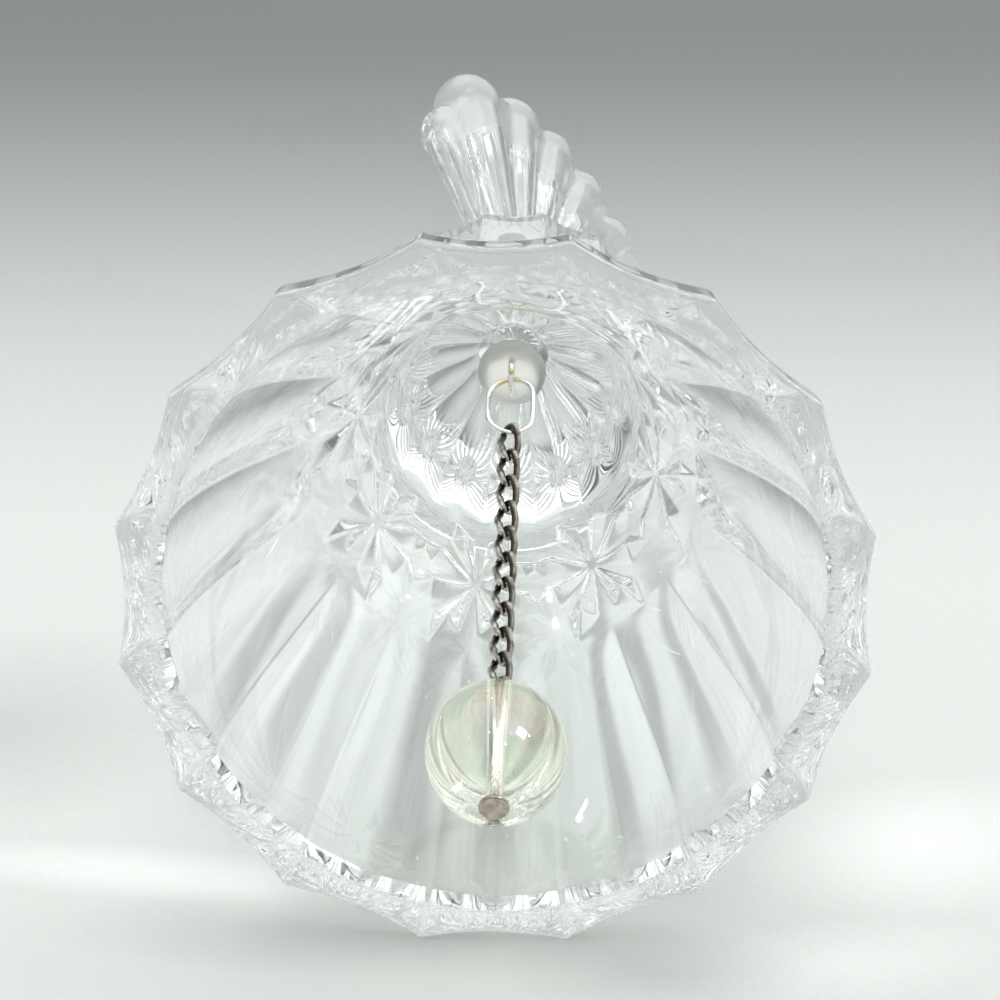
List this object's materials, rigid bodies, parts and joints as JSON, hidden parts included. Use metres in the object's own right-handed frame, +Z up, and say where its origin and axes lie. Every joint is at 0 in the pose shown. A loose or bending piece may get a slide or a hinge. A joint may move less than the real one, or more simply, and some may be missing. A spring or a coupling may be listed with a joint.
{
  "type": "hand bell",
  "caption": "Cut crystal hand bell lying on its side: scalloped rim, fluted skirt, belt of cut stars, ribbed fan handle, and a glass bead clapper on a chain",
  "frame": {"origin": "on the floor under the middle of the lying bell", "axes": "+Z up, the mouth faces -Y and the handle points to +Y, +X to the right of someone who looks into the mouth"},
  "size_m": [0.0746, 0.1436, 0.0737],
  "materials": {
    "crystal": "clear polished lead crystal, rib tips of the handle frosted",
    "cement": "pale yellowish set resin",
    "bright_wire": "bright plated wire",
    "dark_wire": "tarnished gunmetal plating, worn bright on the high spots",
    "bead_glass": "clear glass with a faint iridescent lustre"
  },
  "bodies": {
    "bell": {"bell_body": "crystal", "handle": "crystal", "crown_cement": "cement", "staple": "bright_wire"},
    "ring": {"hanger_ring": "bright_wire"},
    "link_01": {"chain_link_01": "dark_wire"},
    "link_02": {"chain_link_02": "dark_wire"},
    "link_03": {"chain_link_03": "dark_wire"},
    "link_04": {"chain_link_04": "dark_wire"},
    "link_05": {"chain_link_05": "dark_wire"},
    "link_06": {"chain_link_06": "dark_wire"},
    "link_07": {"chain_link_07": "dark_wire"},
    "link_08": {"chain_link_08": "dark_wire"},
    "link_09": {"chain_link_09": "dark_wire"},
    "link_10": {"chain_link_10": "dark_wire"},
    "pin": {"head_pin": "dark_wire", "bead_cap": "dark_wire"},
    "bead": {"clapper_bead": "bead_glass"}
  },
  "joints": [
    {"name": "ring_swing", "type": "hinge", "parent": "bell", "child": "ring", "pos_m": [0, -0.00441, 0.02731], "axis": [-1, 0, 0], "range_deg": [0, 41.2]},
    {"name": "link_01_swing", "type": "hinge", "parent": "ring", "child": "link_01", "pos_m": [0, -0.01213, 0.02493], "axis": [1, 0, 0], "range_deg": [-10, 0]},
    {"name": "link_02_swing", "type": "hinge", "parent": "link_01", "child": "link_02", "pos_m": [0, -0.01509, 0.02406], "axis": [0.7071, -0.1879, 0.6817], "range_deg": [-10, 0]},
    {"name": "link_03_swing", "type": "hinge", "parent": "link_02", "child": "link_03", "pos_m": [0, -0.01975, 0.02279], "axis": [0.7071, 0.1772, -0.6845], "range_deg": [-10, 0]},
    {"name": "link_04_swing", "type": "hinge", "parent": "link_03", "child": "link_04", "pos_m": [0, -0.02266, 0.02204], "axis": [0.7071, -0.1664, 0.6872], "range_deg": [-10, 0]},
    {"name": "link_05_swing", "type": "hinge", "parent": "link_04", "child": "link_05", "pos_m": [0, -0.02736, 0.02092], "axis": [0.7071, 0.1556, -0.6898], "range_deg": [-10, 0]},
    {"name": "link_06_swing", "type": "hinge", "parent": "link_05", "child": "link_06", "pos_m": [0, -0.0303, 0.02025], "axis": [0.7071, -0.1448, 0.6921], "range_deg": [-10, 0]},
    {"name": "link_07_swing", "type": "hinge", "parent": "link_06", "child": "link_07", "pos_m": [0, -0.03503, 0.01928], "axis": [0.7071, 0.1339, -0.6943], "range_deg": [-10, 0]},
    {"name": "link_08_swing", "type": "hinge", "parent": "link_07", "child": "link_08", "pos_m": [0, -0.03798, 0.01871], "axis": [0.7071, -0.1229, 0.6963], "range_deg": [-10, 0]},
    {"name": "link_09_swing", "type": "hinge", "parent": "link_08", "child": "link_09", "pos_m": [0, -0.04274, 0.01788], "axis": [0.7071, 0.112, -0.6982], "range_deg": [-10, 0]},
    {"name": "link_10_swing", "type": "hinge", "parent": "link_09", "child": "link_10", "pos_m": [0, -0.04571, 0.01741], "axis": [0.7071, -0.101, 0.6999], "range_deg": [-10, 0]},
    {"name": "pin_swing", "type": "hinge", "parent": "link_10", "child": "pin", "pos_m": [0, -0.0505, 0.01673], "axis": [0.7071, 0.09, -0.7014], "range_deg": [-10, 0]},
    {"name": "bead_spin", "type": "hinge", "parent": "pin", "child": "bead", "pos_m": [0, -0.06083, 0.0154], "axis": [0, 0.9919, 0.1273], "continuous": true}
  ]
}
